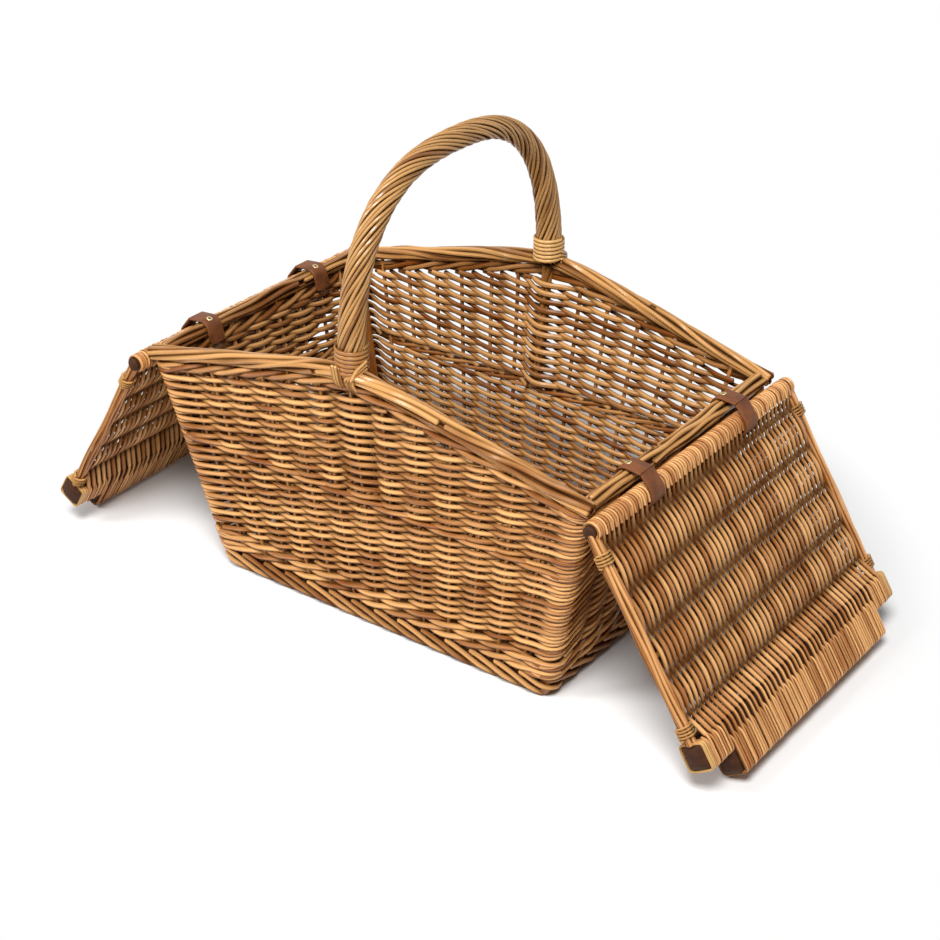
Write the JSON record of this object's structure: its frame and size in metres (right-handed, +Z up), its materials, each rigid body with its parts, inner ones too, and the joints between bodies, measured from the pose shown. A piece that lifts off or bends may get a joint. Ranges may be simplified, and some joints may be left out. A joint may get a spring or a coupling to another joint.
{
  "type": "hamper basket",
  "caption": "Rectangular woven willow hamper with arched long rims, a fixed roped bow handle across the middle and a strap-hinged flap lid at each end, shown folded out to the ground.",
  "frame": {"origin": "on the ground under the middle of the basket, with both lids folded out", "axes": "+X along the basket from lid to lid, +Y across it towards the back, +Z up"},
  "size_m": [0.77, 0.3242, 0.443],
  "materials": {
    "willow": "peeled buff willow, satin",
    "pale_willow": "split or peeled willow, satin",
    "dark_wood": "dark stained wood, satin",
    "leather": "reddish brown strap leather, satin",
    "brass": "pale brass, polished"
  },
  "bodies": {
    "basket": {"base": "willow", "foot_border": "willow", "wall_front": "willow", "wall_back": "willow", "wall_left": "willow", "wall_right": "willow", "post_front_left": "willow", "post_front_right": "willow", "post_back_left": "willow", "post_back_right": "willow", "border_front": "pale_willow", "border_back": "pale_willow", "border_left": "pale_willow", "border_right": "pale_willow", "handle_core": "willow", "handle_wrap": "willow", "handle_binding_front": "pale_willow", "handle_binding_back": "pale_willow", "strap_rim_left_front": "leather", "strap_rim_left_back": "leather", "strap_rim_right_front": "leather", "strap_rim_right_back": "leather", "rivet_left_front": "brass", "rivet_left_back": "brass", "rivet_right_front": "brass", "rivet_right_back": "brass"},
    "left_lid": {"lid_left_hinge_bar": "dark_wood", "lid_left_panel": "willow", "lid_left_stick_1": "willow", "lid_left_stick_2": "willow", "lid_left_stick_3": "willow", "lid_left_stick_4": "willow", "lid_left_rest_batten": "dark_wood", "lid_left_meeting_batten": "dark_wood", "lid_left_side_rods_front": "willow", "lid_left_side_rods_back": "willow", "lid_left_hinge_tie_front": "pale_willow", "lid_left_hinge_tie_back": "pale_willow", "lid_left_free_tie_front": "pale_willow", "lid_left_free_tie_back": "pale_willow", "lid_left_strap_front": "leather", "lid_left_strap_back": "leather"},
    "right_lid": {"lid_right_hinge_bar": "dark_wood", "lid_right_panel": "willow", "lid_right_stick_1": "willow", "lid_right_stick_2": "willow", "lid_right_stick_3": "willow", "lid_right_stick_4": "willow", "lid_right_rest_batten": "dark_wood", "lid_right_meeting_batten": "dark_wood", "lid_right_side_rods_front": "willow", "lid_right_side_rods_back": "willow", "lid_right_hinge_tie_front": "pale_willow", "lid_right_hinge_tie_back": "pale_willow", "lid_right_free_tie_front": "pale_willow", "lid_right_free_tie_back": "pale_willow", "lid_right_strap_front": "leather", "lid_right_strap_back": "leather"}
  },
  "joints": [
    {"name": "left_lid_hinge", "type": "hinge", "parent": "basket", "child": "left_lid", "pos_m": [-0.248, 0, 0.2275], "axis": [0, 1, 0], "range_deg": [0, 224.6]},
    {"name": "right_lid_hinge", "type": "hinge", "parent": "basket", "child": "right_lid", "pos_m": [0.248, 0, 0.2275], "axis": [0, -1, 0], "range_deg": [0, 224.6]}
  ]
}
